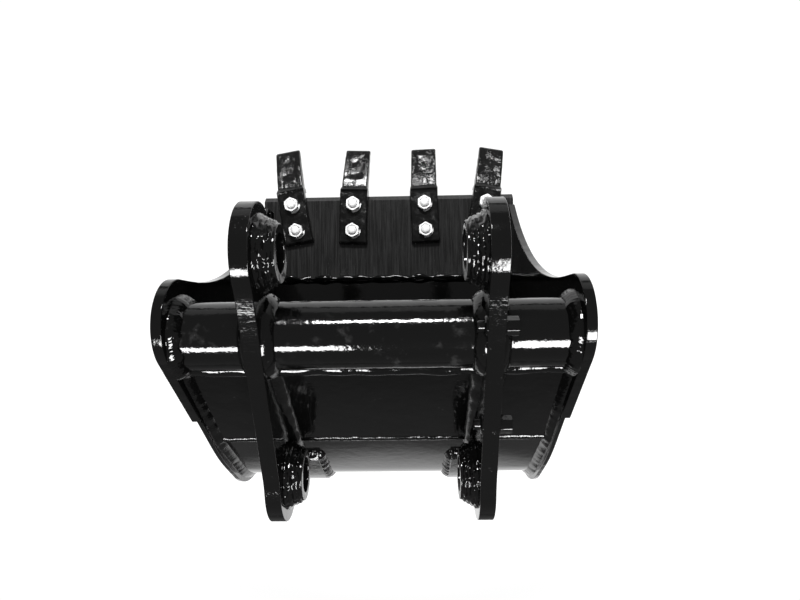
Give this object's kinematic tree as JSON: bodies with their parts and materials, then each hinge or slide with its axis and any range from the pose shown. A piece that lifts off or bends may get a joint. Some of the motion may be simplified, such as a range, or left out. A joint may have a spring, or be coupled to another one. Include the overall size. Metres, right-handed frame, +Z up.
{
  "type": "excavator digging bucket",
  "caption": "Welded digging bucket with a torque tube, two hanger ears with pin bosses, heel straps and bolt-on teeth on a thick lip.",
  "frame": {"origin": "middle of the bounding box, at the height of the flat floor and lip that the bucket rests on", "axes": "+X across the bucket to the side with the two studs, +Y forward over the teeth, +Z up from the floor towards the ears"},
  "size_m": [0.6, 0.7486, 0.707],
  "materials": {
    "paint": "high-gloss black",
    "lip_steel": "gloss black, streaked",
    "tooth_iron": "rough cast, painted black",
    "zinc": "bright zinc plate"
  },
  "bodies": {
    "root": {"back_plate": "paint", "ear_left": "paint", "ear_right": "paint", "floor_sheet": "paint", "heel_strap_left": "paint", "heel_strap_right": "paint", "keeper_nut_front": "paint", "keeper_nut_rear": "paint", "keeper_stud_front": "paint", "keeper_stud_rear": "paint", "lip_plate": "lip_steel", "pin_boss_front_left": "paint", "pin_boss_front_right": "paint", "pin_boss_rear_left": "paint", "pin_boss_rear_right": "paint", "side_edge_left": "paint", "side_edge_right": "paint", "side_plate_left": "paint", "side_plate_right": "paint", "tooth_1": "tooth_iron", "tooth_2": "tooth_iron", "tooth_3": "tooth_iron", "tooth_4": "tooth_iron", "tooth_bolt_1_front": "zinc", "tooth_bolt_1_rear": "zinc", "tooth_bolt_2_front": "zinc", "tooth_bolt_2_rear": "zinc", "tooth_bolt_3_front": "zinc", "tooth_bolt_3_rear": "zinc", "tooth_bolt_4_front": "zinc", "tooth_bolt_4_rear": "zinc", "tooth_nut_1_front": "zinc", "tooth_nut_1_rear": "zinc", "tooth_nut_2_front": "zinc", "tooth_nut_2_rear": "zinc", "tooth_nut_3_front": "zinc", "tooth_nut_3_rear": "zinc", "tooth_nut_4_front": "zinc", "tooth_nut_4_rear": "zinc", "tooth_washer_1_front": "zinc", "tooth_washer_1_rear": "zinc", "tooth_washer_2_front": "zinc", "tooth_washer_2_rear": "zinc", "tooth_washer_3_front": "zinc", "tooth_washer_3_rear": "zinc", "tooth_washer_4_front": "zinc", "tooth_washer_4_rear": "zinc", "torque_tube": "paint"}
  },
  "joints": []
}
